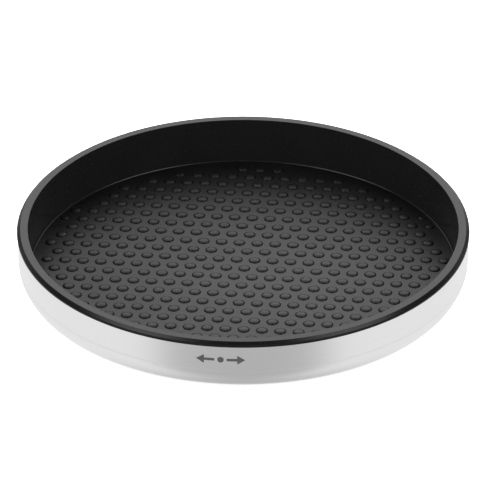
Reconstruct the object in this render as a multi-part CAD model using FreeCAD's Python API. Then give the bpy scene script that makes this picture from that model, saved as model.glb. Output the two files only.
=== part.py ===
import FreeCAD, Part
import math
import os

# A lazy susan: a drawn steel shell with a black moulded tray and a domed grip mat,
# turning on a flat ball bearing over a low round base with soft feet.
# Millimetres, +Z up, origin on the spin axis at the surface that the feet stand on.

# Heights above the table, from the feet up
BASE_BOTTOM_Z = 2.0
BASE_TOP_Z = 4.4
RACE_THICK = 1.2
RACE_GAP = 2.8
FLOOR_THICK = 2.0
MAT_THICK = 2.0
LOWER_RACE_TOP_Z = BASE_TOP_Z + RACE_THICK
UPPER_RACE_BOTTOM_Z = LOWER_RACE_TOP_Z + RACE_GAP
FLOOR_BOTTOM_Z = UPPER_RACE_BOTTOM_Z + RACE_THICK
FLOOR_TOP_Z = FLOOR_BOTTOM_Z + FLOOR_THICK
MAT_TOP_Z = FLOOR_TOP_Z + MAT_THICK
RIM_TOP_Z = MAT_TOP_Z + 28.2
RIM_BOTTOM_Z = RIM_TOP_Z - 3.1
SHELL_BOTTOM_Z = MAT_TOP_Z - 6.5

# Steel shell
SHELL_R = 134.58
SHELL_TOP_R = 134.35
SHELL_THICK = 0.8
SHELL_CORNER_R = 14.65
SHELL_OPENING_R = 110.0
CREASE_ABOVE_CORNER = 0.45
CREASE_WIDTH = 0.5
CREASE_DEPTH = 0.06

# Tray
RIM_R = 135.0
RIM_FOOT_R = 134.95
RIM_FLAT_R = 132.97
RIM_BEVEL_R = 134.7
RIM_BEVEL_DROP = 1.45
RIM_SIDE_DROP = 1.9
RIM_INNER_R = 128.43
RIM_INNER_CHAMFER = 0.15
WELL_FLOOR_R = 127.1
WALL_THICK = 2.0
CAP_THICK = 2.0
SKIRT_R = 133.2
SKIRT_THICK = 1.2
SKIRT_DROP = 5.0
TRAY_SHELL_GAP = 0.3
TRAY_RIB_INNER = (14.0, 54.0, 1.6)
TRAY_RIB_OUTER = (78.0, 99.0, 1.4)
RIB_COUNT = 12
RIB_WIDTH = 1.6

# Hub: a well in the tray floor that hides the pivot nut under the mat
HUB_WELL_R = 9.0
HUB_WELL_WALL = 1.5
HUB_WELL_FLOOR_TOP_Z = 8.4
HUB_WELL_FLOOR_BOTTOM_Z = 6.9

# Grip mat and its staggered rows of domes
MAT_R = 126.8
MAT_EDGE_R = 0.5
DOME_R = 3.5
DOME_H = 0.9
DOME_MIN_R = 1.9
DOME_PITCH = 10.8
DOME_ROW_PITCH = 9.99
DOME_ROW_STAGGER = 5.52
DOME_ROW_TURN = -5.4
DOME_ORIGIN = (-3.9, 7.35)
DOME_EDGE_LAND = 1.5
DOME_FIELD_R = 123.0
DOME_FIELD_BACK = (122.1, 111.7)
DOME_FIELD_BACK_Y = 6.0

# Shell screws
SHELL_SCREW_COUNT = 8
SHELL_SCREW_CIRCLE_R = 115.0
SHELL_SCREW_HEAD_R = 3.0
SHELL_SCREW_HEAD_H = 1.6
SHELL_SCREW_R = 1.45
SHELL_SCREW_TOP_Z = FLOOR_TOP_Z - 0.8
BOSS_R = 5.0
SCREW_HOLE_GAP = 0.05
FLANGE_HOLE_GAP = 0.3
DRIVE_SLOT_R = 1.7
DRIVE_SLOT_WIDTH = 0.8
DRIVE_SLOT_DEPTH = 0.9

# Flat ball bearing
RACE_IN_R = 57.0
RACE_OUT_R = 72.0
BALL_CIRCLE_R = 67.0
BALL_R = 2.0
BALL_GAP = 0.15
BALL_COUNT = 24
CAGE_IN_R = 63.6
CAGE_OUT_R = 70.4
CAGE_THICK = 1.2

# Rivets that hold the races
RIVET_COUNT = 6
RIVET_CIRCLE_R = 60.0
RIVET_R = 1.5
RIVET_GAP = 0.05
RIVET_HEAD_R = 2.5
RIVET_HEAD_H = 0.9
RIVET_CLINCH_R = 2.4
RIVET_CLINCH_H = 0.5
RIVET_SINK_R = 2.6

# Base plate and feet
BASE_R = 104.0
BASE_RIM_THICK = 2.4
BASE_RIM_TOP_Z = 8.0
BASE_RIB_INNER = (14.0, 54.0, 1.6)
BASE_RIB_OUTER = (76.0, 102.0, 2.2)
BASE_HUB_R = 9.0
BASE_HUB_TOP_Z = 6.2
FOOT_COUNT = 6
FOOT_CIRCLE_R = 88.0
FOOT_R = 9.0
FOOT_SEAT_DEPTH = 0.6
FOOT_SEAT_GAP = 0.15
FOOT_ROUND = 0.6

# Pivot
PIVOT_R = 2.0
PIVOT_HEAD_R = 4.0
PIVOT_HEAD_BOTTOM_Z = 2.2
PIVOT_HEAD_TOP_Z = 4.2
PIVOT_SINK_R = 4.5
PIVOT_TOP_Z = 11.4
PIVOT_FIT_GAP = 0.06
PIVOT_SOCKET_WIDTH = 2.5
PIVOT_SOCKET_DEPTH = 1.2
BUSH_OUT_R = 3.5
BUSH_FLANGE_R = 5.5
BUSH_FLANGE_H = 0.6
PRESS_GAP = 0.02
WASHER_R = 5.0
WASHER_BOTTOM_Z = 8.5
WASHER_H = 0.5
NUT_WIDTH = 7.0
NUT_H = 2.3

Z_AXIS = FreeCAD.Vector(0, 0, 1)
ORIGIN = FreeCAD.Vector(0, 0, 0)


def point(r, z):
    return FreeCAD.Vector(r, 0, z)


def line(a, b):
    return Part.LineSegment(point(*a), point(*b)).toShape()


def arc(a, middle, b):
    return Part.Arc(point(*a), point(*middle), point(*b)).toShape()


def polyline(points):
    return [line(a, b) for a, b in zip(points, points[1:])]


def lathe(edges):
    """A solid of revolution about Z from the edges of a closed outline in the XZ plane."""
    return Part.Face(Part.Wire(edges)).revolve(ORIGIN, Z_AXIS, 360)


def turned(points):
    """A solid of revolution from a closed outline of straight lines."""
    return lathe(polyline(points + [points[0]]))


def cylinder(radius, bottom_z, top_z, x=0.0, y=0.0):
    return Part.makeCylinder(radius, top_z - bottom_z, FreeCAD.Vector(x, y, bottom_z))


def ring(inner_r, outer_r, bottom_z, top_z):
    return turned([(inner_r, bottom_z), (outer_r, bottom_z), (outer_r, top_z), (inner_r, top_z)])


def circle_places(count, radius, first_deg=0.0):
    """(x, y) places evenly round a circle."""
    angles = [math.radians(first_deg + 360.0 * i / count) for i in range(count)]
    return [(radius * math.cos(a), radius * math.sin(a)) for a in angles]


def moved(shape, x, y):
    return shape.translated(FreeCAD.Vector(x, y, 0))


def radial_ribs(span, bottom_z, top_z):
    """Straight ribs that run outward from the axis, one every 360 / RIB_COUNT degrees."""
    inner_r, outer_r = span
    rib = Part.makeBox(
        outer_r - inner_r, RIB_WIDTH, top_z - bottom_z, FreeCAD.Vector(inner_r, -RIB_WIDTH / 2, bottom_z)
    )
    step = 360.0 / RIB_COUNT
    return [rib.rotated(ORIGIN, Z_AXIS, step * (i + 0.5)) for i in range(RIB_COUNT)]


def corner_point(radius, z):
    """Where a circle about the shell's corner centre, of this radius, passes height z."""
    centre_r = SHELL_R - SHELL_CORNER_R
    centre_z = SHELL_BOTTOM_Z + SHELL_CORNER_R
    return centre_r + math.sqrt(radius ** 2 - (centre_z - z) ** 2), z


def corner_angle_point(radius, degrees):
    """A point on a circle about the shell's corner centre, degrees below horizontal."""
    angle = math.radians(degrees)
    centre_r = SHELL_R - SHELL_CORNER_R
    centre_z = SHELL_BOTTOM_Z + SHELL_CORNER_R
    return centre_r + radius * math.cos(angle), centre_z - radius * math.sin(angle)


def make_steel_shell():
    corner_r = SHELL_R - SHELL_CORNER_R
    corner_z = SHELL_BOTTOM_Z + SHELL_CORNER_R
    inner_corner = SHELL_CORNER_R - SHELL_THICK
    crease_z = corner_z + CREASE_ABOVE_CORNER
    top = [(SHELL_TOP_R - SHELL_THICK, RIM_BOTTOM_Z), (SHELL_TOP_R, RIM_BOTTOM_Z)]
    outside = [
        top[1],
        (SHELL_R, crease_z + CREASE_WIDTH),
        (SHELL_R - CREASE_DEPTH, crease_z + CREASE_WIDTH / 2),
        (SHELL_R, crease_z),
        (SHELL_R, corner_z),
    ]
    flange = [
        (corner_r, SHELL_BOTTOM_Z),
        (SHELL_OPENING_R, SHELL_BOTTOM_Z),
        (SHELL_OPENING_R, SHELL_BOTTOM_Z + SHELL_THICK),
        (corner_r, SHELL_BOTTOM_Z + SHELL_THICK),
    ]
    edges = polyline(top) + polyline(outside)
    edges.append(arc(outside[-1], corner_angle_point(SHELL_CORNER_R, 45), flange[0]))
    edges += polyline(flange)
    inner_wall_foot = (SHELL_R - SHELL_THICK, corner_z)
    edges.append(arc(flange[-1], corner_angle_point(inner_corner, 45), inner_wall_foot))
    edges.append(line(inner_wall_foot, top[0]))
    shell = lathe(edges)
    holes = [
        cylinder(SHELL_SCREW_R + FLANGE_HOLE_GAP, SHELL_BOTTOM_Z - 1, SHELL_BOTTOM_Z + 2, x, y)
        for x, y in circle_places(SHELL_SCREW_COUNT, SHELL_SCREW_CIRCLE_R)
    ]
    return shell.cut(Part.makeCompound(holes))


def tray_outline():
    """The tray's section: floor, drafted wall, bevelled rim cap, and the skirt that locates it in the shell."""
    outer_corner = SHELL_CORNER_R - SHELL_THICK - TRAY_SHELL_GAP
    wall_foot_r = WELL_FLOOR_R + WALL_THICK
    wall_top_r = RIM_INNER_R + WALL_THICK
    floor_edge = corner_point(outer_corner, FLOOR_BOTTOM_Z)
    centre_r = SHELL_R - SHELL_CORNER_R
    wall_foot_drop = math.sqrt(outer_corner ** 2 - (wall_foot_r - centre_r) ** 2)
    wall_foot = (wall_foot_r, SHELL_BOTTOM_Z + SHELL_CORNER_R - wall_foot_drop)
    cap_bottom_z = RIM_TOP_Z - CAP_THICK
    skirt_bottom_z = RIM_BOTTOM_Z - SKIRT_DROP
    middle_angle = 0.5 * (
        math.degrees(math.acos((floor_edge[0] - centre_r) / outer_corner))
        + math.degrees(math.acos((wall_foot_r - centre_r) / outer_corner))
    )
    edges = [line((0, FLOOR_BOTTOM_Z), floor_edge)]
    edges.append(arc(floor_edge, corner_angle_point(outer_corner, middle_angle), wall_foot))
    edges += polyline([
        wall_foot,
        (wall_top_r, cap_bottom_z),
        (SKIRT_R - SKIRT_THICK, cap_bottom_z),
        (SKIRT_R - SKIRT_THICK, skirt_bottom_z),
        (SKIRT_R, skirt_bottom_z),
        (SKIRT_R, RIM_BOTTOM_Z),
        (RIM_FOOT_R, RIM_BOTTOM_Z),
        (RIM_R, RIM_TOP_Z - RIM_SIDE_DROP),
        (RIM_BEVEL_R, RIM_TOP_Z - RIM_BEVEL_DROP),
        (RIM_FLAT_R, RIM_TOP_Z),
        (RIM_INNER_R + RIM_INNER_CHAMFER, RIM_TOP_Z),
        (RIM_INNER_R, RIM_TOP_Z - RIM_INNER_CHAMFER),
        (WELL_FLOOR_R, FLOOR_TOP_Z),
        (0, FLOOR_TOP_Z),
        (0, FLOOR_BOTTOM_Z),
    ])
    return edges


def make_tray():
    added = [cylinder(HUB_WELL_R + HUB_WELL_WALL, HUB_WELL_FLOOR_BOTTOM_Z, FLOOR_TOP_Z)]
    flange_top_z = SHELL_BOTTOM_Z + SHELL_THICK
    screw_places = circle_places(SHELL_SCREW_COUNT, SHELL_SCREW_CIRCLE_R)
    added += [cylinder(BOSS_R, flange_top_z, FLOOR_TOP_Z, x, y) for x, y in screw_places]
    for inner_r, outer_r, height in (TRAY_RIB_INNER, TRAY_RIB_OUTER):
        added += radial_ribs((inner_r, outer_r), FLOOR_BOTTOM_Z - height, FLOOR_TOP_Z)
    removed = [
        cylinder(HUB_WELL_R, HUB_WELL_FLOOR_TOP_Z, FLOOR_TOP_Z + 1),
        cylinder(BUSH_OUT_R + PRESS_GAP, HUB_WELL_FLOOR_BOTTOM_Z - 1, FLOOR_TOP_Z),
    ]
    hole_r = SHELL_SCREW_R + SCREW_HOLE_GAP
    removed += [cylinder(hole_r, flange_top_z - 1, SHELL_SCREW_TOP_Z + 0.2, x, y) for x, y in screw_places]
    for x, y in circle_places(RIVET_COUNT, RIVET_CIRCLE_R, 30):
        removed.append(cylinder(RIVET_R + RIVET_GAP, FLOOR_BOTTOM_Z - 1, FLOOR_TOP_Z + 1, x, y))
        removed.append(cylinder(RIVET_SINK_R, FLOOR_TOP_Z - RIVET_CLINCH_H, FLOOR_TOP_Z + 1, x, y))
    body = lathe(tray_outline()).fuse(added)
    return body.cut(Part.makeCompound(removed)).removeSplitter()


def dome_places():
    """(x, y, radius) of every dome: staggered rows, with smaller domes where the edge leaves less room."""
    turn = math.radians(DOME_ROW_TURN)
    along = (math.cos(turn), math.sin(turn))
    across = (math.sin(turn), -math.cos(turn))
    reach = int(2 * MAT_R / DOME_ROW_PITCH)
    back_x, back_y = DOME_FIELD_BACK
    places = []
    for row in range(-reach, reach + 1):
        for column in range(-reach, reach + 1):
            step = DOME_PITCH * column + DOME_ROW_STAGGER * row
            shift = DOME_ROW_PITCH * row
            x = DOME_ORIGIN[0] + step * along[0] + shift * across[0]
            y = DOME_ORIGIN[1] + step * along[1] + shift * across[1]
            distance = math.hypot(x, y)
            if y > DOME_FIELD_BACK_Y:
                inside = (x / back_x) ** 2 + ((y - DOME_FIELD_BACK_Y) / back_y) ** 2 <= 1
            else:
                inside = distance <= DOME_FIELD_R
            radius = min(DOME_R, MAT_R - DOME_EDGE_LAND - distance)
            if inside and radius >= DOME_MIN_R:
                places.append((x, y, radius))
    return places


def dome_cap(radius):
    """The curved face of a dome at the origin, with its rim at z = 0."""
    height = DOME_H * radius / DOME_R
    sphere_r = (radius ** 2 + height ** 2) / (2 * height)
    half = 0.5 * math.asin(radius / sphere_r)
    middle = (sphere_r * math.sin(half), height - sphere_r * (1 - math.cos(half)))
    return arc((0, height), middle, (radius, 0)).revolve(ORIGIN, Z_AXIS, 360)


def make_grip_mat():
    flat_r = MAT_R - MAT_EDGE_R
    edge_z = MAT_TOP_Z - MAT_EDGE_R
    bottom_z = FLOOR_TOP_Z
    half = MAT_EDGE_R * math.sqrt(0.5)
    side = [
        arc((flat_r, MAT_TOP_Z), (flat_r + half, edge_z + half), (MAT_R, edge_z)),
        line((MAT_R, edge_z), (MAT_R, bottom_z)),
        line((MAT_R, bottom_z), (0, bottom_z)),
    ]
    faces = [edge.revolve(ORIGIN, Z_AXIS, 360) for edge in side]
    outlines = [Part.Wire(Part.makeCircle(flat_r, FreeCAD.Vector(0, 0, MAT_TOP_Z)))]
    for x, y, radius in dome_places():
        centre = FreeCAD.Vector(x, y, MAT_TOP_Z)
        outlines.append(Part.Wire(Part.makeCircle(radius, centre)))
        cap = dome_cap(radius)
        cap.translate(centre)
        faces.append(cap)
    top = Part.Face(outlines[0]).cut([Part.Face(w) for w in outlines[1:]])
    shell = Part.Shell(top.Faces + [f for face in faces for f in face.Faces])
    shell.sewShape()
    return Part.Solid(Part.Shell(shell.Faces))


def pan_head_screw(shank_r, head_r, head_bottom_z, head_top_z, tip_z):
    """A pan-head screw that points up, with a cross recess in the underside of its head."""
    crown = 0.35 * (head_top_z - head_bottom_z)
    edges = polyline([(0, head_bottom_z), (head_r * 0.75, head_bottom_z)])
    edges.append(arc(
        (head_r * 0.75, head_bottom_z),
        (head_r * 0.94, head_bottom_z + crown * 0.4),
        (head_r, head_bottom_z + crown),
    ))
    edges += polyline([
        (head_r, head_bottom_z + crown),
        (head_r, head_top_z),
        (shank_r, head_top_z),
        (shank_r, tip_z - shank_r * 0.5),
        (shank_r * 0.5, tip_z),
        (0, tip_z),
        (0, head_bottom_z),
    ])
    bar = Part.makeBox(
        2 * DRIVE_SLOT_R,
        DRIVE_SLOT_WIDTH,
        DRIVE_SLOT_DEPTH + 1,
        FreeCAD.Vector(-DRIVE_SLOT_R, -DRIVE_SLOT_WIDTH / 2, head_bottom_z - 1),
    )
    cross = bar.fuse(bar.rotated(ORIGIN, Z_AXIS, 90))
    return lathe(edges).cut(cross)


def make_shell_screws():
    screw = pan_head_screw(
        SHELL_SCREW_R, SHELL_SCREW_HEAD_R, SHELL_BOTTOM_Z - SHELL_SCREW_HEAD_H, SHELL_BOTTOM_Z, SHELL_SCREW_TOP_Z
    )
    places = circle_places(SHELL_SCREW_COUNT, SHELL_SCREW_CIRCLE_R)
    return Part.makeCompound([moved(screw, x, y) for x, y in places])


def make_race(bottom_z, rivet_first_deg):
    """A flat steel ring with a round groove for the balls and a hole for each rivet."""
    ball_z = LOWER_RACE_TOP_Z + RACE_GAP / 2
    groove = Part.makeTorus(BALL_CIRCLE_R, BALL_R + BALL_GAP, FreeCAD.Vector(0, 0, ball_z))
    holes = [
        cylinder(RIVET_R + RIVET_GAP, bottom_z - 1, bottom_z + RACE_THICK + 1, x, y)
        for x, y in circle_places(RIVET_COUNT, RIVET_CIRCLE_R, rivet_first_deg)
    ]
    blank = ring(RACE_IN_R, RACE_OUT_R, bottom_z, bottom_z + RACE_THICK)
    return blank.cut(groove).cut(Part.makeCompound(holes))


def rivet(head_z, head_side, clinch_z):
    """A rivet from its flat head, on the bearing side, to the clinched end in its sink."""
    head = cylinder(RIVET_HEAD_R, min(head_z, head_z + head_side * RIVET_HEAD_H),
                    max(head_z, head_z + head_side * RIVET_HEAD_H))
    clinch_inner_z = clinch_z + head_side * RIVET_CLINCH_H
    clinch = cylinder(RIVET_CLINCH_R, min(clinch_z, clinch_inner_z), max(clinch_z, clinch_inner_z))
    shank = cylinder(RIVET_R, min(head_z, clinch_z), max(head_z, clinch_z))
    return shank.fuse([head, clinch]).removeSplitter()


def rivet_group(one, first_deg):
    places = circle_places(RIVET_COUNT, RIVET_CIRCLE_R, first_deg)
    return Part.makeCompound([moved(one, x, y) for x, y in places])


def make_bearing_balls():
    ball_z = LOWER_RACE_TOP_Z + RACE_GAP / 2
    places = circle_places(BALL_COUNT, BALL_CIRCLE_R)
    return Part.makeCompound([Part.makeSphere(BALL_R, FreeCAD.Vector(x, y, ball_z)) for x, y in places])


def make_ball_cage():
    middle_z = LOWER_RACE_TOP_Z + RACE_GAP / 2
    bottom_z = middle_z - CAGE_THICK / 2
    top_z = middle_z + CAGE_THICK / 2
    places = circle_places(BALL_COUNT, BALL_CIRCLE_R)
    pockets = [cylinder(BALL_R + BALL_GAP, bottom_z - 1, top_z + 1, x, y) for x, y in places]
    return ring(CAGE_IN_R, CAGE_OUT_R, bottom_z, top_z).cut(Part.makeCompound(pockets))


def foot_places():
    return circle_places(FOOT_COUNT, FOOT_CIRCLE_R, 30)


def make_base_plate():
    plate = turned([
        (0, BASE_BOTTOM_Z),
        (BASE_R - 0.8, BASE_BOTTOM_Z),
        (BASE_R, BASE_BOTTOM_Z + 0.8),
        (BASE_R, BASE_RIM_TOP_Z),
        (BASE_R - BASE_RIM_THICK, BASE_RIM_TOP_Z),
        (BASE_R - BASE_RIM_THICK, BASE_TOP_Z),
        (0, BASE_TOP_Z),
    ])
    added = [cylinder(BASE_HUB_R, BASE_BOTTOM_Z, BASE_HUB_TOP_Z)]
    for inner_r, outer_r, height in (BASE_RIB_INNER, BASE_RIB_OUTER):
        added += radial_ribs((inner_r, outer_r), BASE_BOTTOM_Z + 1, BASE_TOP_Z + height)
    removed = [
        cylinder(PIVOT_SINK_R, BASE_BOTTOM_Z - 1, PIVOT_HEAD_TOP_Z),
        cylinder(PIVOT_R + RIVET_GAP, BASE_BOTTOM_Z, BASE_HUB_TOP_Z + 1),
    ]
    for x, y in circle_places(RIVET_COUNT, RIVET_CIRCLE_R):
        removed.append(cylinder(RIVET_R + RIVET_GAP, BASE_BOTTOM_Z - 1, BASE_TOP_Z + 1, x, y))
        removed.append(cylinder(RIVET_SINK_R, BASE_BOTTOM_Z - 1, BASE_BOTTOM_Z + RIVET_CLINCH_H, x, y))
    seat_r = FOOT_R + FOOT_SEAT_GAP
    removed += [
        cylinder(seat_r, BASE_BOTTOM_Z - 1, BASE_BOTTOM_Z + FOOT_SEAT_DEPTH, x, y) for x, y in foot_places()
    ]
    return plate.fuse(added).cut(Part.makeCompound(removed)).removeSplitter()


def make_foot(x, y):
    top_z = BASE_BOTTOM_Z + FOOT_SEAT_DEPTH
    corner = FOOT_ROUND * (1 - math.sqrt(0.5))
    edges = [line((0, 0), (FOOT_R - FOOT_ROUND, 0))]
    edges.append(arc((FOOT_R - FOOT_ROUND, 0), (FOOT_R - corner, corner), (FOOT_R, FOOT_ROUND)))
    edges += polyline([(FOOT_R, FOOT_ROUND), (FOOT_R, top_z), (0, top_z), (0, 0)])
    return moved(lathe(edges), x, y)


def hexagon_prism(width, bottom_z, top_z):
    corner_r = width / math.sqrt(3)
    corners = [FreeCAD.Vector(x, y, bottom_z) for x, y in circle_places(6, corner_r)]
    face = Part.Face(Part.makePolygon(corners + [corners[0]]))
    return face.extrude(FreeCAD.Vector(0, 0, top_z - bottom_z))


def make_pivot_bolt():
    bolt = turned([
        (0, PIVOT_HEAD_BOTTOM_Z),
        (PIVOT_HEAD_R - 0.4, PIVOT_HEAD_BOTTOM_Z),
        (PIVOT_HEAD_R, PIVOT_HEAD_BOTTOM_Z + 0.4),
        (PIVOT_HEAD_R, PIVOT_HEAD_TOP_Z),
        (PIVOT_R, PIVOT_HEAD_TOP_Z),
        (PIVOT_R, PIVOT_TOP_Z - 0.4),
        (PIVOT_R - 0.4, PIVOT_TOP_Z),
        (0, PIVOT_TOP_Z),
    ])
    socket = hexagon_prism(PIVOT_SOCKET_WIDTH, PIVOT_HEAD_BOTTOM_Z - 1, PIVOT_HEAD_BOTTOM_Z + PIVOT_SOCKET_DEPTH)
    return bolt.cut(socket)


def make_pivot_bush():
    flange_bottom_z = HUB_WELL_FLOOR_BOTTOM_Z - BUSH_FLANGE_H
    bore_r = PIVOT_R + PIVOT_FIT_GAP
    return turned([
        (bore_r, flange_bottom_z),
        (BUSH_FLANGE_R, flange_bottom_z),
        (BUSH_FLANGE_R, HUB_WELL_FLOOR_BOTTOM_Z),
        (BUSH_OUT_R, HUB_WELL_FLOOR_BOTTOM_Z),
        (BUSH_OUT_R, HUB_WELL_FLOOR_TOP_Z),
        (bore_r, HUB_WELL_FLOOR_TOP_Z),
    ])


def make_pivot_washer():
    return ring(PIVOT_R + PRESS_GAP, WASHER_R, WASHER_BOTTOM_Z, WASHER_BOTTOM_Z + WASHER_H)


def make_pivot_nut():
    bottom_z = WASHER_BOTTOM_Z + WASHER_H
    nut = hexagon_prism(NUT_WIDTH, bottom_z, bottom_z + NUT_H)
    return nut.cut(cylinder(PIVOT_R + PRESS_GAP, bottom_z - 1, bottom_z + NUT_H + 1))


def main():
    parts = {
        "grip_mat": make_grip_mat(),
        "tray": make_tray(),
        "steel_shell": make_steel_shell(),
        "shell_screws": make_shell_screws(),
        "upper_race": make_race(UPPER_RACE_BOTTOM_Z, 30),
        "upper_race_rivets": rivet_group(rivet(UPPER_RACE_BOTTOM_Z, -1, FLOOR_TOP_Z), 30),
        "ball_cage": make_ball_cage(),
        "bearing_balls": make_bearing_balls(),
        "lower_race": make_race(BASE_TOP_Z, 0),
        "lower_race_rivets": rivet_group(rivet(LOWER_RACE_TOP_Z, 1, BASE_BOTTOM_Z), 0),
        "base_plate": make_base_plate(),
        "pivot_bolt": make_pivot_bolt(),
        "pivot_bush": make_pivot_bush(),
        "pivot_washer": make_pivot_washer(),
        "pivot_nut": make_pivot_nut(),
    }
    for number, (x, y) in enumerate(foot_places(), start=1):
        parts[f"foot_{number}"] = make_foot(x, y)
    os.makedirs("parts", exist_ok=True)
    for name, shape in parts.items():
        shape.exportStep(f"parts/{name}.step")
        print(f"{name}: {len(shape.Solids)} solids, {shape.Volume / 1000:.2f} cm3, valid {shape.isValid()}")


main()
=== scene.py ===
import math

import bmesh
import bpy
from mathutils import Matrix, Vector
from mathutils.geometry import delaunay_2d_cdt


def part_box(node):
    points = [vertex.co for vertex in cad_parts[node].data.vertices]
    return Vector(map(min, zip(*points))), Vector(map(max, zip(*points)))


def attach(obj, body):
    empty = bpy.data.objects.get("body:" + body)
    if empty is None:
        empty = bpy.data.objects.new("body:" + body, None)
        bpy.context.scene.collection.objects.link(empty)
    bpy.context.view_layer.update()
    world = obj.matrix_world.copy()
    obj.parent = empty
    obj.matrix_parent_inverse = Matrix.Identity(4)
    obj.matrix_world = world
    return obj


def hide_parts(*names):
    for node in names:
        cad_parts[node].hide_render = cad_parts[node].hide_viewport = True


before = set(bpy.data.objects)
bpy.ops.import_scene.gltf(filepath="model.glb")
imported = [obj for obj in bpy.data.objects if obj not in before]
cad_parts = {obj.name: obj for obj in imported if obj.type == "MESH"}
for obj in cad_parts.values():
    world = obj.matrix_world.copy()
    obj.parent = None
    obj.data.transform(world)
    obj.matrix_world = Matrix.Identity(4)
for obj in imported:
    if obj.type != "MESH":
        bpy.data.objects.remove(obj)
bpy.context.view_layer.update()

MM = 0.001

# Driving sizes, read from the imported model
_, tray_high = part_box("tray")
shell_low, shell_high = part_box("steel_shell")
mat_low, mat_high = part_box("grip_mat")
_, race_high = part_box("upper_race")
_, screws_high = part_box("shell_screws")

RIM_TOP = tray_high.z
RIM_R = tray_high.x
SHELL_TOP = shell_high.z
SHELL_BOTTOM = shell_low.z
SHELL_R = shell_high.x
MAT_R = mat_high.x
FLOOR_TOP = mat_low.z
FLOOR_BOTTOM = race_high.z
DOME_H = 0.9 * MM
MAT_TOP = mat_high.z - DOME_H
MAT_CENTRE = Vector((0, 0, MAT_TOP))

# The well's radius at the rim, and where the painted light on the well ends and the rim cap's plain
# black plastic begins
WELL_TOP_R = 128.43 * MM
CAP_INNER_R = WELL_TOP_R + 0.05 * MM
CAP_FADE = 0.1 * MM

# How finely round shapes are divided, and the angle above which an edge stays sharp
TURN_STEPS = 288
HOLE_STEPS = 40
ARC_STEP = math.radians(15)
SHARP_DEGREES = 40


# ---------------------------------------------------------------- mesh tools

def new_piece(name, mesh, body, material, slot, *nodes):
    """Puts a mesh in the scene as a piece that rides on a body and stands for CAD nodes."""
    piece = bpy.data.objects.new(name, mesh)
    bpy.context.scene.collection.objects.link(piece)
    mesh.materials.append(material)
    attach(piece, body)
    if nodes:
        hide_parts(*nodes)


# A corner's arc takes at most ARC_SHARE of its shorter side. A point stands ARC_SUPPORT off each end of
# the arc, so that smooth shading leaves the flats flat. A turn under STRAIGHT radians has no arc
ARC_SHARE = 0.48
ARC_SUPPORT = 0.12 * MM
ARC_SUPPORT_LEAST = 0.2 * ARC_SUPPORT
STRAIGHT = 1e-3


def rounded_outline(corners):
    """Points of an open (r, z) outline whose corners, given as (r, z, radius), are rounded."""
    points = [Vector(corners[0][:2])]
    for before, corner, after in zip(corners, corners[1:], corners[2:]):
        here = Vector(corner[:2])
        radius = corner[2]
        to_before = Vector(before[:2]) - here
        to_after = Vector(after[:2]) - here
        room = ARC_SHARE * min(to_before.length, to_after.length)
        to_before.normalize()
        to_after.normalize()
        half = 0.5 * to_before.angle(to_after)
        if radius == 0 or math.pi - 2 * half < STRAIGHT:
            points.append(here)
            continue
        cut = min(radius / math.tan(half), room)
        radius = cut * math.tan(half)
        centre = here + (to_before + to_after).normalized() * radius / math.sin(half)
        start = here + to_before * cut
        end = here + to_after * cut
        spread = math.pi - 2 * half
        steps = max(3, math.ceil(spread / ARC_STEP))
        first = math.atan2(start.y - centre.y, start.x - centre.x)
        sweep = math.atan2(end.y - centre.y, end.x - centre.x) - first
        sweep = (sweep + math.pi) % math.tau - math.pi
        support = min(ARC_SUPPORT, room - cut + ARC_SUPPORT_LEAST)
        points.append(start + to_before * support)
        for step in range(steps + 1):
            angle = first + sweep * step / steps
            points.append(centre + radius * Vector((math.cos(angle), math.sin(angle))))
        points.append(end + to_after * support)
    points.append(Vector(corners[-1][:2]))
    return points


def lathe_mesh(name, outline):
    """A closed body of revolution about Z from a closed (r, z) outline that stays off the axis."""
    bm = bmesh.new()
    angles = [math.tau * i / TURN_STEPS for i in range(TURN_STEPS)]
    rings = []
    for r, z in outline:
        rings.append([bm.verts.new((r * math.cos(a), r * math.sin(a), z)) for a in angles])
    for lower, upper in zip(rings, rings[1:] + rings[:1]):
        bridge(bm, lower, upper)
    return finished_mesh(name, bm)


def finished_mesh(name, bm, sharp_degrees=SHARP_DEGREES):
    """A smooth-shaded mesh of the bmesh, which it frees. Edges with a larger angle stay sharp."""
    bmesh.ops.recalc_face_normals(bm, faces=bm.faces)
    for face in bm.faces:
        face.smooth = True
    limit = math.radians(sharp_degrees)
    for edge in bm.edges:
        edge.smooth = len(edge.link_faces) == 2 and edge.calc_face_angle(0) < limit
    mesh = bpy.data.meshes.new(name)
    bm.to_mesh(mesh)
    bm.free()
    return mesh


def circle_places(count, radius, first_degrees=0):
    """(x, y) places evenly round a circle."""
    angles = [math.radians(first_degrees + 360 * i / count) for i in range(count)]
    return [(radius * math.cos(a), radius * math.sin(a)) for a in angles]


def circle_ring(bm, radius, height, steps, x=0, y=0):
    """New vertices evenly round a level circle."""
    return [bm.verts.new((x + px, y + py, height)) for px, py in circle_places(steps, radius)]


def bridge(bm, lower, upper):
    """Faces between two closed rings of vertices."""
    steps = len(lower)
    for i in range(steps):
        j = (i + 1) % steps
        bm.faces.new((lower[i], lower[j], upper[j], upper[i]))


def add_prism(bm, lower, upper):
    """A closed solid between two rings of vertices."""
    bm.faces.new(list(reversed(lower)))
    bm.faces.new(upper)
    bridge(bm, lower, upper)


def add_cylinder(bm, radius, bottom, top, x, y):
    """An upright cylinder from bottom to top about (x, y)."""
    lower, upper = (circle_ring(bm, radius, z, HOLE_STEPS, x, y) for z in (bottom, top))
    add_prism(bm, lower, upper)


def add_rib(bm, inner_r, outer_r, bottom, top, degrees):
    """A straight rib that runs outward from the axis."""
    turn = Matrix.Rotation(math.radians(degrees), 3, "Z")
    half = RIB_WIDTH / 2
    flat = [(inner_r, -half), (outer_r, -half), (outer_r, half), (inner_r, half)]
    lower, upper = ([bm.verts.new(turn @ Vector((x, y, z))) for x, y in flat] for z in (bottom, top))
    add_prism(bm, lower, upper)


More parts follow.
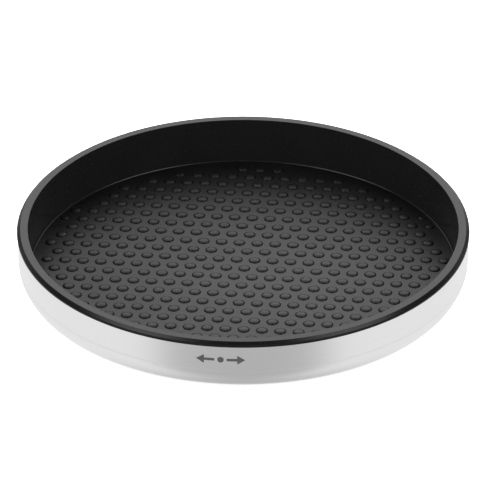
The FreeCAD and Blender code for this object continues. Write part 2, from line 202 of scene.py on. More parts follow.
def combined(mesh, operation, fill_tool):
    """A mesh joined with, or cut by, the closed solids that fill_tool adds to an empty bmesh."""
    bm = bmesh.new()
    fill_tool(bm)
    tool_mesh = bpy.data.meshes.new("tool")
    bm.to_mesh(tool_mesh)
    bm.free()
    work, tool = (bpy.data.objects.new("work", m) for m in (mesh, tool_mesh))
    for obj in (work, tool):
        bpy.context.scene.collection.objects.link(obj)
    modifier = work.modifiers.new("combined", "BOOLEAN")
    modifier.operation = operation
    modifier.solver = "EXACT"
    modifier.object = tool
    graph = bpy.context.evaluated_depsgraph_get()
    result = bpy.data.meshes.new_from_object(work.evaluated_get(graph))
    for obj in (work, tool):
        bpy.data.objects.remove(obj)
    bm = bmesh.new()
    bm.from_mesh(result)
    return finished_mesh(mesh.name, bm)


# ---------------------------------------------------------------- materials

# The span of a noise texture's values that roughness and colour are spread over
NOISE_LOW = 0.3
NOISE_HIGH = 0.7
SHADE_LOW = 0.35
SHADE_HIGH = 0.65


class Nodes:
    """A material's node tree, with short calls to add and link nodes."""

    def __init__(self, name):
        self.material = bpy.data.materials.new(name)
        self.material.use_nodes = True
        self.tree = self.material.node_tree
        self.shader = self.tree.nodes["Principled BSDF"]
        self.place = self.add("ShaderNodeTexCoord").outputs["Object"]

    def add(self, kind, **settings):
        node = self.tree.nodes.new(kind)
        for key, value in settings.items():
            setattr(node, key, value)
        return node

    def link(self, source, target):
        self.tree.links.new(source, target)

    def noise(self, scale, detail=2.0, rough=0.5, stretch=(1, 1, 1)):
        """Noise over the object's own space, with features about 1 / scale metres across."""
        mapping = self.add("ShaderNodeMapping")
        mapping.inputs["Scale"].default_value = stretch
        self.link(self.place, mapping.inputs["Vector"])
        texture = self.add("ShaderNodeTexNoise")
        texture.inputs["Scale"].default_value = scale
        texture.inputs["Detail"].default_value = detail
        texture.inputs["Roughness"].default_value = rough
        self.link(mapping.outputs["Vector"], texture.inputs["Vector"])
        return texture.outputs["Fac"]

    def between(self, fac, low, high):
        """A noise value mapped from its usual span to low..high."""
        ramp = self.add("ShaderNodeMapRange")
        ramp.inputs["From Min"].default_value = NOISE_LOW
        ramp.inputs["From Max"].default_value = NOISE_HIGH
        ramp.inputs["To Min"].default_value = low
        ramp.inputs["To Max"].default_value = high
        self.link(fac, ramp.inputs["Value"])
        return ramp.outputs["Result"]

    def shades(self, fac, dark, light):
        """A colour that varies from dark to light with a noise value."""
        ramp = self.add("ShaderNodeValToRGB")
        ramp.color_ramp.elements[0].position = SHADE_LOW
        ramp.color_ramp.elements[1].position = SHADE_HIGH
        ramp.color_ramp.elements[0].color = (*dark, 1)
        ramp.color_ramp.elements[1].color = (*light, 1)
        self.link(fac, ramp.inputs["Fac"])
        return ramp.outputs["Color"]

    def tint(self, fac, dark, light):
        """The base colour, between dark and light."""
        self.link(self.shades(fac, dark, light), self.shader.inputs["Base Color"])

    def distance_step(self, centre, inner, outer, near=0.0, far=1.0):
        """A smooth step from near to far with the level distance from an upright line."""
        offset = self.add("ShaderNodeVectorMath", operation="MULTIPLY_ADD")
        offset.inputs[1].default_value = (1, 1, 0)
        offset.inputs[2].default_value = (-centre[0], -centre[1], 0)
        self.link(self.place, offset.inputs[0])
        length = self.add("ShaderNodeVectorMath", operation="LENGTH")
        self.link(offset.outputs["Vector"], length.inputs[0])
        step = self.add("ShaderNodeMapRange", interpolation_type="SMOOTHSTEP")
        step.inputs["From Min"].default_value = inner
        step.inputs["From Max"].default_value = outer
        step.inputs["To Min"].default_value = near
        step.inputs["To Max"].default_value = far
        self.link(length.outputs["Value"], step.inputs["Value"])
        return step.outputs["Result"]

    def blend(self, fac, inner, outer):
        """The base colour, from the inner one to the outer one."""
        mix = self.add("ShaderNodeMix", data_type="RGBA")
        self.link(fac, mix.inputs["Factor"])
        self.link(inner, mix.inputs["A"])
        self.link(outer, mix.inputs["B"])
        self.link(mix.outputs["Result"], self.shader.inputs["Base Color"])

    def bump(self, height, strength, distance):
        """Fine relief, from a noise value as its height."""
        node = self.add("ShaderNodeBump")
        node.inputs["Strength"].default_value = strength
        node.inputs["Distance"].default_value = distance
        self.link(height, node.inputs["Height"])
        self.link(node.outputs["Normal"], self.shader.inputs["Normal"])

    def roughness(self, fac, low, high):
        """The roughness, between low and high."""
        self.link(self.between(fac, low, high), self.shader.inputs["Roughness"])

    def set(self, **values):
        """Plain values on the shader's own sockets, with _ for a space in a socket's name."""
        for key, value in values.items():
            self.shader.inputs[key.replace("_", " ")].default_value = value


def grey(value):
    return (value, value, value)


# Painted sheen: the rubber's specular level fades outward from a place in front of the mat's middle, a
# painted reflection that stands in for a near lamp
PAINTED_SHEEN_CENTRE = (20 * MM, -45 * MM)
PAINTED_SHEEN_INNER = 20 * MM
PAINTED_SHEEN_OUTER = 130 * MM
PAINTED_SHEEN_NEAR = 0.50
PAINTED_SHEEN_FAR = 0.33


def mat_rubber():
    """Matt black rubber with a fine grain, and a painted sheen that fades outward from in front of the
    mat's middle.
    """
    nodes = Nodes("mat_rubber")
    nodes.tint(nodes.noise(60, 3), grey(0.0036), grey(0.0050))
    nodes.roughness(nodes.noise(1100, 3), 0.36, 0.46)
    nodes.bump(nodes.noise(1500, 3, 0.65), 0.38, 0.02 * MM)
    nodes.set(IOR=1.27)
    # Painted reflection: the specular level is set by place on the mat, standing in for lamp light, not
    # by the rubber itself
    painted_sheen = nodes.distance_step(PAINTED_SHEEN_CENTRE, PAINTED_SHEEN_INNER, PAINTED_SHEEN_OUTER, PAINTED_SHEEN_NEAR, PAINTED_SHEEN_FAR)
    nodes.link(painted_sheen, nodes.shader.inputs["Specular IOR Level"])
    return nodes.material


def tray_plastic():
    """Black plastic, with painted light on the well: inside the rim cap a lighter copy of the same
    plastic stands in for light on the well's wall.
    """
    nodes = Nodes("tray_plastic")
    mottle = nodes.noise(35, 3)
    # Painted light: a lighter copy of the plastic for the well, and the plain plastic for the rim cap
    painted_light_well = nodes.shades(mottle, grey(0.0145), grey(0.0165))
    cap = nodes.shades(mottle, grey(0.0046), grey(0.0056))
    cap_share = nodes.distance_step((0, 0), CAP_INNER_R, CAP_INNER_R + CAP_FADE)
    nodes.blend(cap_share, painted_light_well, cap)
    nodes.roughness(nodes.noise(500, 2), 0.22, 0.28)
    nodes.bump(nodes.noise(1200, 2, 0.5), 0.012, 0.02 * MM)
    nodes.set(IOR=1.23)
    return nodes.material


# Noise scales that draw long level streaks round the shell
STREAK_STRETCH = (14, 14, 9000)
BAND_STRETCH = (6, 6, 1500)


def brushed_steel():
    """Stainless steel brushed along the shell's wall."""
    nodes = Nodes("shell_steel")
    streaks = nodes.noise(1.0, 3, 0.6, STREAK_STRETCH)
    nodes.tint(nodes.noise(1.0, 2, 0.5, BAND_STRETCH), grey(0.732), grey(0.746))
    nodes.roughness(streaks, 0.27, 0.33)
    nodes.bump(streaks, 0.03, 0.01 * MM)
    nodes.set(Metallic=1.0)
    return nodes.material


# The darkest tint of plated steel, as a share of its own shade
PLATED_DARK = 0.92


def plated_steel(name, shade, low, high):
    """Zinc-plated or polished steel, with roughness from low to high."""
    nodes = Nodes(name)
    nodes.tint(nodes.noise(220, 3), grey(shade * PLATED_DARK), grey(shade))
    nodes.roughness(nodes.noise(700, 2), low, high)
    nodes.bump(nodes.noise(1800, 2), 0.08, 0.02 * MM)
    nodes.set(Metallic=1.0)
    return nodes.material


def moulded_plastic(name, dark, light, low, high):
    """Grained plastic or rubber, with roughness from low to high."""
    nodes = Nodes(name)
    nodes.tint(nodes.noise(80, 3), dark, light)
    nodes.roughness(nodes.noise(500, 2), low, high)
    nodes.bump(nodes.noise(1500, 3, 0.6), 0.25, 0.03 * MM)
    return nodes.material


def printed_ink():
    """Dark grey print on the steel."""
    nodes = Nodes("printed_ink")
    nodes.tint(nodes.noise(900, 3), grey(0.050), grey(0.062))
    nodes.roughness(nodes.noise(1500, 2), 0.50, 0.60)
    nodes.bump(nodes.noise(4000, 2), 0.1, 0.01 * MM)
    return nodes.material


# ---------------------------------------------------------------- grip mat

# The domes' size and their staggered rows
DOME_R = 3.5 * MM
DOME_MIN_R = 1.9 * MM
DOME_PITCH = 10.8 * MM
DOME_ROW_PITCH = 9.99 * MM
DOME_ROW_STAGGER = 5.52 * MM
DOME_ROW_TURN = math.radians(-5.4)
DOME_ORIGIN = (-3.9 * MM, 7.35 * MM)

# The field that the domes fill: a circle in front and an ellipse at the back, as half axes,
# with a strip of flat mat left at the edge
DOME_FIELD_R = 123.0 * MM
DOME_FIELD_BACK = (122.1 * MM, 111.7 * MM)
DOME_FIELD_BACK_Y = 6.0 * MM
DOME_EDGE_LAND = 1.5 * MM

# The mat's rounded upper edge and bevelled lower edge
MAT_EDGE_R = 0.5 * MM
MAT_FLAT_R = MAT_R - MAT_EDGE_R
MAT_EDGE_STEPS = 6
MAT_FOOT_BEVEL = 0.2 * MM
MAT_SHARP_DEGREES = 35

# A dome's section: the groove round it, its steep side and its low crown
GROOVE_OUT = 0.18 * MM
GROOVE_IN = 0.06 * MM
GROOVE_DEPTH = 0.28 * MM
DOME_FOOT_IN = 0.18 * MM
DOME_CROWN = 0.35
DOME_SIDE_POWER = 7
DOME_STEPS = 24

# Where a dome's rings lie, as shares of its radius
DOME_SHARES = (0.97, 0.91, 0.82, 0.68, 0.42)

# Points of the mat's flat top that are closer than this count as one
SAME_POINT = 1e-9


def dome_places():
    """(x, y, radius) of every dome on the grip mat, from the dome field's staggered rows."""
    along = Vector((math.cos(DOME_ROW_TURN), math.sin(DOME_ROW_TURN)))
    across = Vector((math.sin(DOME_ROW_TURN), -math.cos(DOME_ROW_TURN)))
    reach = int(2 * MAT_R / DOME_ROW_PITCH)
    back_x, back_y = DOME_FIELD_BACK
    places = []
    for row in range(-reach, reach + 1):
        for column in range(-reach, reach + 1):
            spot = Vector(DOME_ORIGIN)
            run = DOME_PITCH * column + DOME_ROW_STAGGER * row
            spot += run * along + DOME_ROW_PITCH * row * across
            x, y = spot
            if y > DOME_FIELD_BACK_Y:
                inside = (x / back_x) ** 2 + ((y - DOME_FIELD_BACK_Y) / back_y) ** 2 <= 1
            else:
                inside = spot.length <= DOME_FIELD_R
            radius = min(DOME_R, MAT_R - DOME_EDGE_LAND - spot.length)
            if inside and radius >= DOME_MIN_R:
                places.append((x, y, radius))
    return places


def dome_profile(radius):
    """(r, height) from the groove round a dome to its top: a steep round side under a low crown."""
    foot_r = radius - DOME_FOOT_IN
    height = DOME_H * radius / DOME_R
    points = [(radius, -GROOVE_DEPTH), (radius - GROOVE_IN, -GROOVE_DEPTH), (foot_r, 0)]
    for share in DOME_SHARES:
        crown = DOME_CROWN * (1 - share ** 2)
        side = (1 - DOME_CROWN) * (1 - share ** DOME_SIDE_POWER)
        points.append((foot_r * share, height * (crown + side)))
    return points, height


def grip_mat_mesh():
    """The mat's flat top is one triangulated sheet with a hole for each dome,
    and each hole's edge carries its dome."""
    domes = dome_places()
    points = [Vector(p) for p in circle_places(TURN_STEPS, MAT_FLAT_R)]
    edges = [(i, (i + 1) % TURN_STEPS) for i in range(TURN_STEPS)]
    for x, y, radius in domes:
        first = len(points)
        hole = circle_places(DOME_STEPS, radius + GROOVE_OUT)
        points += [Vector((x + px, y + py)) for px, py in hole]
        edges += [(first + i, first + (i + 1) % DOME_STEPS) for i in range(DOME_STEPS)]
    flat_points, _, triangles, *_ = delaunay_2d_cdt(points, edges, [], 0, SAME_POINT, True)
    bm = bmesh.new()
    verts = [bm.verts.new((p.x, p.y, MAT_TOP)) for p in flat_points]
    for corners in triangles:
        owners = {(i - TURN_STEPS) // DOME_STEPS for i in corners}
        inside_a_dome = len(owners) == 1 and min(corners) >= TURN_STEPS
        if not inside_a_dome:
            bm.faces.new([verts[i] for i in corners])
    for number, (x, y, radius) in enumerate(domes):
        first = TURN_STEPS + number * DOME_STEPS
        ring = verts[first:first + DOME_STEPS]
        profile, height = dome_profile(radius)
        for r, z in profile:
            upper = circle_ring(bm, r, MAT_TOP + z, DOME_STEPS, x, y)
            bridge(bm, ring, upper)
            ring = upper
        top = bm.verts.new((x, y, MAT_TOP + height))
        for i in range(DOME_STEPS):
            bm.faces.new((ring[i], ring[(i + 1) % DOME_STEPS], top))
    ring = verts[:TURN_STEPS]
    section = []
    for step in range(1, MAT_EDGE_STEPS + 1):
        angle = math.pi / 2 * (1 - step / MAT_EDGE_STEPS)
        drop = MAT_EDGE_R * (1 - math.sin(angle))
        section.append((MAT_FLAT_R + MAT_EDGE_R * math.cos(angle), MAT_TOP - drop))
    section += [(MAT_R, FLOOR_TOP + MAT_FOOT_BEVEL), (MAT_R - MAT_FOOT_BEVEL, FLOOR_TOP)]
    for r, z in section:
        lower = circle_ring(bm, r, z, TURN_STEPS)
        bridge(bm, ring, lower)
        ring = lower
    bm.faces.new(ring)
    return finished_mesh("grip_mat", bm, MAT_SHARP_DEGREES)


# ---------------------------------------------------------------- shell and tray

# The steel shell's section, whose outline starts on the wall's inner face below the top
CORNER_R = 14.65 * MM
SHEET = 0.8 * MM
OPENING_R = 110.0 * MM
SHELL_TOP_R = SHELL_R - 0.23 * MM
CORNER_CENTRE = Vector((SHELL_R - CORNER_R, SHELL_BOTTOM + CORNER_R))
CREASE_Z = CORNER_CENTRE.y + 0.45 * MM
CREASE_WIDTH = 0.5 * MM
CREASE_DEPTH = 0.08 * MM
OUTLINE_START_DROP = 6.0 * MM
FLANGE_RUN = 4.0 * MM
CORNER_STEPS = 18

# The tray's section
WALL = 2.0 * MM
WELL_FLOOR_R = 127.1 * MM

# A small slope at the foot of the well's wall, from the mat's edge up to the wall
LEDGE_IN_R = MAT_R + 0.04 * MM
LEDGE_OUT_R = MAT_R + 0.60 * MM
LEDGE_IN_Z = MAT_TOP - 0.45 * MM
LEDGE_OUT_Z = MAT_TOP

# The rim cap, the skirt inside the shell, and the hub's well
RIM_FLAT_R = RIM_R - 2.03 * MM
RIM_BEVEL_R = RIM_R - 0.3 * MM
RIM_BEVEL_DROP = 1.45 * MM
RIM_SIDE_DROP = 1.9 * MM
RIM_GAP = 0.05 * MM
RIM_SIDE_DRAFT = 0.05 * MM
SKIRT_R = 133.2 * MM
SKIRT_THICK = 1.2 * MM
SKIRT_DROP = 5.0 * MM
TRAY_SHELL_GAP = 0.3 * MM
LINER_STEPS = 6
WALL_FOOT_OUT = 0.2 * MM
WALL_FOOT_UP = 4.0 * MM
HUB_WELL_R = 9.0 * MM
HUB_WALL = 1.5 * MM
HUB_FLOOR_TOP = 8.4 * MM
HUB_FLOOR_BOTTOM = 6.9 * MM
BUSH_HOLE_R = 3.52 * MM

# Ribs under the tray's floor as (inner radius, outer radius, height), bosses and holes. Solids that are
# joined reach into each other by OVERLAP, and cutting ones reach past the surface by OVERCUT
OVERLAP = 0.5 * MM
OVERCUT = 1.0 * MM
SCREW_TIP_ROOM = 0.2 * MM
RIB_SPANS = ((14.0 * MM, 54.0 * MM, 1.6 * MM), (78.0 * MM, 99.0 * MM, 1.4 * MM))
RIB_COUNT = 12
RIB_WIDTH = 1.6 * MM
SCREW_COUNT = 8
SCREW_CIRCLE_R = 115.0 * MM
SCREW_HOLE_R = 1.5 * MM
FLANGE_HOLE_R = 1.75 * MM
BOSS_R = 5.0 * MM
RIVET_COUNT = 6
RIVET_CIRCLE_R = 60.0 * MM
RIVET_FIRST_DEGREES = 30
RIVET_HOLE_R = 1.55 * MM
RIVET_SINK_R = 2.6 * MM
RIVET_SINK_DEPTH = 0.5 * MM
RIVET_HOLE_TOP = FLOOR_TOP - 0.75 * RIVET_SINK_DEPTH


def corner_arc(radius, from_degrees, to_degrees, steps=CORNER_STEPS):
    """Points on a circle about the shell's corner centre, in degrees below horizontal."""
    sweep = to_degrees - from_degrees
    angles = [math.radians(from_degrees + sweep * k / steps) for k in range(steps + 1)]
    return [CORNER_CENTRE + radius * Vector((math.cos(a), -math.sin(a))) for a in angles]


def steel_shell_mesh():
    """The drawn dish: wall with its crease, rounded corner, and flange with screw holes."""
    top_in_r = SHELL_TOP_R - SHEET
    flange_top = SHELL_BOTTOM + SHEET
    outline = rounded_outline([
        (top_in_r, SHELL_TOP - OUTLINE_START_DROP, 0),
        (top_in_r, SHELL_TOP, 0.25 * MM),
        (SHELL_TOP_R, SHELL_TOP, 0.22 * MM),
        (SHELL_R, CREASE_Z + CREASE_WIDTH, 0.2 * MM),
        (SHELL_R - CREASE_DEPTH, CREASE_Z + CREASE_WIDTH / 2, 0.1 * MM),
        (SHELL_R, CREASE_Z, 0.2 * MM),
        (SHELL_R, CORNER_CENTRE.y, 0),
    ])
    outline += corner_arc(CORNER_R, 0, 90)[1:]
    outline += rounded_outline([
        (OPENING_R + FLANGE_RUN, SHELL_BOTTOM, 0),
        (OPENING_R, SHELL_BOTTOM, 0.25 * MM),
        (OPENING_R, flange_top, 0.25 * MM),
        (OPENING_R + FLANGE_RUN, flange_top, 0),
    ])
    outline += corner_arc(CORNER_R - SHEET, 90, 0)

    def screw_holes(bm):
        for x, y in circle_places(SCREW_COUNT, SCREW_CIRCLE_R):
            add_cylinder(bm, FLANGE_HOLE_R, SHELL_BOTTOM - OVERCUT, flange_top + OVERCUT, x, y)

    return combined(lathe_mesh("steel_shell", outline), "DIFFERENCE", screw_holes)


def tray_outline():
    """The tray's section: hub well, floor, drafted wall, bevelled rim cap,
    and the skirt inside the shell."""
    liner_r = CORNER_R - SHEET - TRAY_SHELL_GAP
    foot_angle = math.degrees(math.acos((WELL_FLOOR_R + WALL - CORNER_CENTRE.x) / liner_r))
    under_angle = math.degrees(math.asin((CORNER_CENTRE.y - FLOOR_BOTTOM) / liner_r))
    skirt_in_r = SKIRT_R - SKIRT_THICK
    skirt_bottom = SHELL_TOP - SKIRT_DROP
    outline = rounded_outline([
        (HUB_WELL_R, FLOOR_TOP, 0),
        (HUB_WELL_R, HUB_FLOOR_TOP, 0.3 * MM),
        (BUSH_HOLE_R, HUB_FLOOR_TOP, 0.15 * MM),
        (BUSH_HOLE_R, HUB_FLOOR_BOTTOM, 0.15 * MM),
        (HUB_WELL_R + HUB_WALL, HUB_FLOOR_BOTTOM, 0.3 * MM),
        (HUB_WELL_R + HUB_WALL, FLOOR_BOTTOM, 0.2 * MM),
        (HUB_WELL_R + 2 * HUB_WALL, FLOOR_BOTTOM, 0),
    ])
    outline += corner_arc(liner_r, under_angle, foot_angle, LINER_STEPS)
    outline += rounded_outline([
        (WELL_FLOOR_R + WALL + WALL_FOOT_OUT, FLOOR_TOP + WALL_FOOT_UP, 0),
        (WELL_TOP_R + WALL, RIM_TOP - WALL, 0.5 * MM),
        (skirt_in_r, RIM_TOP - WALL, 0.5 * MM),
        (skirt_in_r, skirt_bottom, 0.3 * MM),
        (SKIRT_R, skirt_bottom, 0.3 * MM),
        (SKIRT_R, SHELL_TOP + RIM_GAP, 0),
        (RIM_R - RIM_SIDE_DRAFT, SHELL_TOP + RIM_GAP, 0.2 * MM),
        (RIM_R, RIM_TOP - RIM_SIDE_DROP, 0.3 * MM),
        (RIM_BEVEL_R, RIM_TOP - RIM_BEVEL_DROP, 0.3 * MM),
        (RIM_FLAT_R, RIM_TOP, 0.12 * MM),
        (WELL_TOP_R, RIM_TOP, 0.15 * MM),
        (LEDGE_OUT_R, LEDGE_OUT_Z, 0.1 * MM),
        (LEDGE_IN_R, LEDGE_IN_Z, 0.1 * MM),
        (LEDGE_IN_R, FLOOR_TOP, 0.1 * MM),
        (HUB_WELL_R + 2 * HUB_WALL, FLOOR_TOP, 0),
    ])
    return outline


def tray_mesh():
    """The tray with its ribs, bosses, screw holes, and sunk rivet holes."""
    screw_places = circle_places(SCREW_COUNT, SCREW_CIRCLE_R)
    flange_top = SHELL_BOTTOM + SHEET
    joined_top = FLOOR_BOTTOM + OVERLAP

    def ribs_and_bosses(bm):
        for inner_r, outer_r, height in RIB_SPANS:
            for number in range(RIB_COUNT):
                degrees = 360 / RIB_COUNT * (number + 0.5)
                add_rib(bm, inner_r, outer_r, FLOOR_BOTTOM - height, joined_top, degrees)
        for x, y in screw_places:
            add_cylinder(bm, BOSS_R, flange_top, joined_top, x, y)

    def holes(bm):
        for x, y in screw_places:
            add_cylinder(bm, SCREW_HOLE_R, flange_top - OVERCUT, screws_high.z + SCREW_TIP_ROOM, x, y)
        for x, y in circle_places(RIVET_COUNT, RIVET_CIRCLE_R, RIVET_FIRST_DEGREES):
            add_cylinder(bm, RIVET_HOLE_R, FLOOR_BOTTOM - OVERCUT, RIVET_HOLE_TOP, x, y)
            add_cylinder(bm, RIVET_SINK_R, FLOOR_TOP - RIVET_SINK_DEPTH, FLOOR_TOP + OVERCUT, x, y)

    with_ribs = combined(lathe_mesh("tray", tray_outline()), "UNION", ribs_and_bosses)
    return combined(with_ribs, "DIFFERENCE", holes)


# ---------------------------------------------------------------- turning mark

# Where the mark's middle is on the wall, and how thick its ink is
MARK_ANGLE = math.radians(-95.6)
MARK_HEIGHT = SHELL_TOP - 8.6 * MM
MARK_INK = 0.05 * MM
MARK_SUNK = 0.02 * MM

# The mark's outline, in millimetres from its middle
MARK_HALF_LENGTH = 14.3
MARK_HEAD_LENGTH = 4.6
MARK_HEAD_HALF = 2.9
MARK_TIP_HALF = 0.04
MARK_HEAD_STEPS = 6
MARK_BAR_START = 3.6
MARK_BAR_HALF = 0.85
MARK_BAR_STEPS = 8
MARK_DISC_R = 1.9
MARK_DISC_STEPS = 16
MARK_DISC_FIRST = 0.02


def on_shell_wall(x, y, lift):
    """A point of the shell's round wall, x and y millimetres from the mark's middle."""
    angle = MARK_ANGLE + x * MM / SHELL_R
    z = MARK_HEIGHT + y * MM
    share = (SHELL_TOP - z) / (SHELL_TOP - CREASE_Z)
    r = SHELL_TOP_R + (SHELL_R - SHELL_TOP_R) * share + lift
    return (r * math.cos(angle), r * math.sin(angle), z)


def add_ink(bm, stations):
    """A thin closed solid on the wall through stations of (x, half height)."""
    sections = []
    for x, half in stations:
        places = [(-half, -MARK_SUNK), (-half, MARK_INK), (half, MARK_INK), (half, -MARK_SUNK)]
        sections.append([bm.verts.new(on_shell_wall(x, y, lift)) for y, lift in places])
    for section, following in zip(sections, sections[1:]):
        bridge(bm, section, following)
    bm.faces.new(sections[0])
    bm.faces.new(list(reversed(sections[-1])))


def turning_mark_mesh():
    """A generic pictogram for turning: a disc between two arrows that point away from it."""
    bm = bmesh.new()
    disc_span = 1 - 2 * MARK_DISC_FIRST
    disc = []
    for k in range(MARK_DISC_STEPS + 1):
        angle = math.pi * (MARK_DISC_FIRST + disc_span * k / MARK_DISC_STEPS)
        disc.append((-MARK_DISC_R * math.cos(angle), MARK_DISC_R * math.sin(angle)))
    add_ink(bm, disc)
    head_start = MARK_HALF_LENGTH - MARK_HEAD_LENGTH
    bar_length = head_start - MARK_BAR_START
    for side in (-1, 1):
        bar = [MARK_BAR_START + bar_length * k / MARK_BAR_STEPS for k in range(MARK_BAR_STEPS + 1)]
        add_ink(bm, [(side * x, MARK_BAR_HALF) for x in bar])
        head = []
        for k in range(MARK_HEAD_STEPS + 1):
            share = k / MARK_HEAD_STEPS
            half = MARK_HEAD_HALF * (1 - share) + MARK_TIP_HALF
            head.append((side * (head_start + MARK_HEAD_LENGTH * share), half))
        add_ink(bm, head)
    return finished_mesh("turning_mark", bm)


# ---------------------------------------------------------------- studio

CAMERA_ELEVATION = math.radians(30.715)
CAMERA_DISTANCE = 3.4382
CAMERA_LENS = 420.08
CAMERA_SENSOR = 36
AIM_UP = math.radians(0.1982)
AIM_RIGHT = math.radians(0.0328)


def add_camera():
    """A long lens at the eye of a person who looks down on a table at about 31 degrees."""
    data = bpy.data.cameras.new("camera")
    data.lens = CAMERA_LENS
    data.sensor_width = CAMERA_SENSOR
    camera = bpy.data.objects.new("camera", data)
    bpy.context.scene.collection.objects.link(camera)
    back = Vector((0, -math.cos(CAMERA_ELEVATION), math.sin(CAMERA_ELEVATION)))
    camera.location = MAT_CENTRE + back * CAMERA_DISTANCE
    camera.rotation_euler = (math.pi / 2 - CAMERA_ELEVATION + AIM_UP, 0, -AIM_RIGHT)
    bpy.context.scene.camera = camera


FLOOR_GLOW = 0.66
FLOOR_HALF = 30


def add_floor():
    """A pale table, lit a little from within so that the shadow on it stays faint."""
    mesh = bpy.data.meshes.new("studio_floor")
    bm = bmesh.new()
    bmesh.ops.create_grid(bm, x_segments=2, y_segments=2, size=FLOOR_HALF)
    bm.to_mesh(mesh)
    bm.free()
    floor = bpy.data.objects.new("studio_floor", mesh)
    bpy.context.scene.collection.objects.link(floor)
    nodes = Nodes("studio_floor")
    nodes.tint(nodes.noise(3, 2), grey(0.88), grey(0.90))
    nodes.set(Roughness=0.9, Emission_Color=(1, 1, 1, 1), Emission_Strength=FLOOR_GLOW)
    mesh.materials.append(nodes.material)
    floor.visible_glossy = False


# How bright each part of the studio is
LIGHT_LOW_FRONT = 0.58
LIGHT_LOW_SIDE = 1.05
LIGHT_LOW_DOWN_SIDE = 0.95
LIGHT_TOP = 0.12
LIGHT_FILL = 0.80
LIGHT_BACK = 3.55
LIGHT_STRIP = 6.5
SEEN_WHITE = 1.0

# Where the bank and the two lamps stand
BACK_DIRECTION = (0, math.cos(math.radians(35)), math.sin(math.radians(35)))
STRIP_DIRECTION = Vector((0.53, -0.14, 0.84)).normalized()

# Where one part of the studio fades into the next, as the height or the share of a direction
FRONT_FADE_LOW = (0.59, 0.89)
FRONT_FADE_LEVEL = (0.7, 0.97)
DOWN_SIDE_FADE = (0.0, 0.5)
DOWN_FADE = (-0.95, -0.75)
LEVEL_FADE = (-0.35, -0.12)
BANK_FADE = (0.62, 0.92)
BANK_FOOT_FADE = (0.15, 0.40)
FILL_FRONT_FADE = (-0.7, -0.2)
FILL_TOP_FADE = (0.55, 0.8)
STRIP_FADE = (0.94, 0.998)
HORIZON_FADE = (-0.05, 0.15)
LEAST_LEVEL = 1e-4


class WorldNodes:
    """The world's node tree, with short calls for arithmetic on directions."""

    def __init__(self, name):
        world = bpy.data.worlds.new(name)
        bpy.context.scene.world = world
        world.use_nodes = True
        self.tree = world.node_tree

    def feed(self, value, socket):
        """A socket's value, from a number or from another node's output."""
        if isinstance(value, (int, float)):
            socket.default_value = value
        else:
            self.tree.links.new(value, socket)

    def math(self, operation, a, b=0.0):
        node = self.tree.nodes.new("ShaderNodeMath")
        node.operation = operation
        self.feed(a, node.inputs[0])
        self.feed(b, node.inputs[1])
        return node.outputs[0]

    def along(self, direction, axes):
        """The dot product of a direction with the x, y and z outputs."""
        parts = [self.math("MULTIPLY", axis, part) for axis, part in zip(axes, direction)]
        return self.math("ADD", self.math("ADD", parts[0], parts[1]), parts[2])

    def ramp(self, value, span, before, after):
        """A smooth step from before to after as value goes through the span."""
        node = self.tree.nodes.new("ShaderNodeMapRange")
        node.interpolation_type = "SMOOTHSTEP"
        self.feed(value, node.inputs["Value"])
        self.feed(span[0], node.inputs["From Min"])
        self.feed(span[1], node.inputs["From Max"])
        self.feed(before, node.inputs["To Min"])
        self.feed(after, node.inputs["To Max"])
        return node.outputs["Result"]


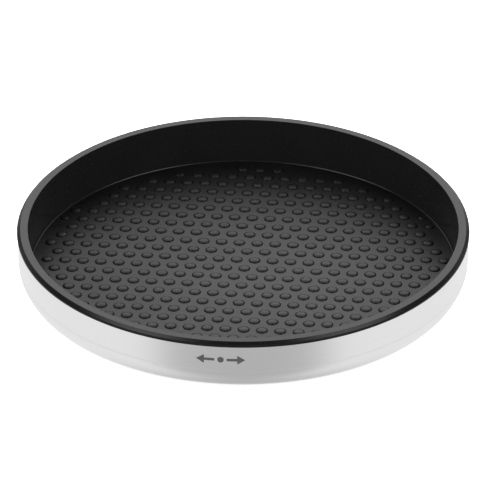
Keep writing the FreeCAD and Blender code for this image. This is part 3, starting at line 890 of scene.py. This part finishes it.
def add_world():
    """Soft studio light: a bright bank high behind the object, two small lamps high at its sides,
    a soft fill above the horizon in front, and a lower half that is dark in front and straight down,
    and bright at the sides. The camera sees it all as plain white."""
    nodes = WorldNodes("studio_light")
    split = nodes.tree.nodes.new("ShaderNodeSeparateXYZ")
    direction = nodes.tree.nodes.new("ShaderNodeTexCoord").outputs["Generated"]
    nodes.tree.links.new(direction, split.inputs[0])
    x, y, z = split.outputs
    side = nodes.math("ABSOLUTE", x)
    square = nodes.math("ADD", nodes.math("MULTIPLY", x, x), nodes.math("MULTIPLY", y, y))
    level = nodes.math("ADD", nodes.math("SQRT", square), LEAST_LEVEL)
    front = nodes.math("DIVIDE", nodes.math("MULTIPLY", y, -1.0), level)
    facing = nodes.math("ABSOLUTE", front)

    below = nodes.ramp(front, FRONT_FADE_LOW, LIGHT_LOW_SIDE, LIGHT_LOW_FRONT)
    straight_down = nodes.ramp(side, DOWN_SIDE_FADE, LIGHT_LOW_FRONT, LIGHT_LOW_DOWN_SIDE)
    low = nodes.ramp(z, DOWN_FADE, straight_down, below)
    level_light = nodes.ramp(facing, FRONT_FADE_LEVEL, LIGHT_LOW_SIDE, LIGHT_LOW_FRONT)
    low = nodes.ramp(z, LEVEL_FADE, low, level_light)

    high = nodes.ramp(nodes.along(BACK_DIRECTION, (x, y, z)), BANK_FADE, LIGHT_TOP, LIGHT_BACK)
    high = nodes.ramp(z, BANK_FOOT_FADE, LIGHT_TOP, high)
    fill = nodes.ramp(y, FILL_FRONT_FADE, LIGHT_FILL, 0.0)
    high = nodes.math("ADD", high, nodes.ramp(z, FILL_TOP_FADE, fill, 0.0))
    strip = nodes.ramp(nodes.along(STRIP_DIRECTION, (side, y, z)), STRIP_FADE, 0.0, LIGHT_STRIP)
    high = nodes.math("ADD", high, strip)

    light = nodes.ramp(z, HORIZON_FADE, low, high)
    seen = nodes.tree.nodes.new("ShaderNodeLightPath").outputs["Is Camera Ray"]
    strength = nodes.ramp(seen, (0.0, 1.0), light, SEEN_WHITE)
    background = nodes.tree.nodes["Background"]
    background.inputs["Color"].default_value = (1, 1, 1, 1)
    nodes.feed(strength, background.inputs["Strength"])


# ---------------------------------------------------------------- assembly

def dress_cad_nodes():
    """Materials for the CAD pieces that are shown as they are."""
    steel_bright = plated_steel("fastener_steel", 0.50, 0.28, 0.40)
    cage_dark, cage_light = (0.66, 0.65, 0.60), (0.72, 0.71, 0.66)
    bush_dark, bush_light = (0.72, 0.71, 0.67), (0.78, 0.77, 0.73)
    finishes = {
        "shell_screws": steel_bright,
        "pivot_bolt": steel_bright,
        "pivot_nut": steel_bright,
        "pivot_washer": steel_bright,
        "upper_race": plated_steel("race_steel", 0.58, 0.30, 0.42),
        "upper_race_rivets": plated_steel("rivet_steel", 0.60, 0.28, 0.40),
        "bearing_balls": plated_steel("ball_steel", 0.72, 0.06, 0.12),
        "ball_cage": moulded_plastic("cage_plastic", cage_dark, cage_light, 0.42, 0.52),
        "pivot_bush": moulded_plastic("bush_plastic", bush_dark, bush_light, 0.35, 0.45),
        "base_plate": moulded_plastic("base_plastic", grey(0.010), grey(0.014), 0.45, 0.58),
        "foot_1": moulded_plastic("foot_rubber", grey(0.030), grey(0.040), 0.70, 0.82),
    }
    finishes["lower_race"] = finishes["upper_race"]
    finishes["lower_race_rivets"] = finishes["upper_race_rivets"]
    for number in range(2, 7):
        finishes[f"foot_{number}"] = finishes["foot_1"]
    for node, material in finishes.items():
        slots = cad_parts[node].data.materials
        slots.clear()
        slots.append(material)


def main():
    dress_cad_nodes()
    body = "turntable"
    new_piece("grip_mat_visual", grip_mat_mesh(), body, mat_rubber(), "mat_rubber", "grip_mat")
    new_piece("tray_visual", tray_mesh(), body, tray_plastic(), "tray_plastic", "tray")
    new_piece("steel_shell_visual", steel_shell_mesh(), body, brushed_steel(), "shell_steel",
              "steel_shell")
    new_piece("turning_mark", turning_mark_mesh(), body, printed_ink(), "tray_plastic")
    add_floor()
    add_world()
    add_camera()
    scene = bpy.context.scene
    scene.view_settings.view_transform = "Standard"


main()
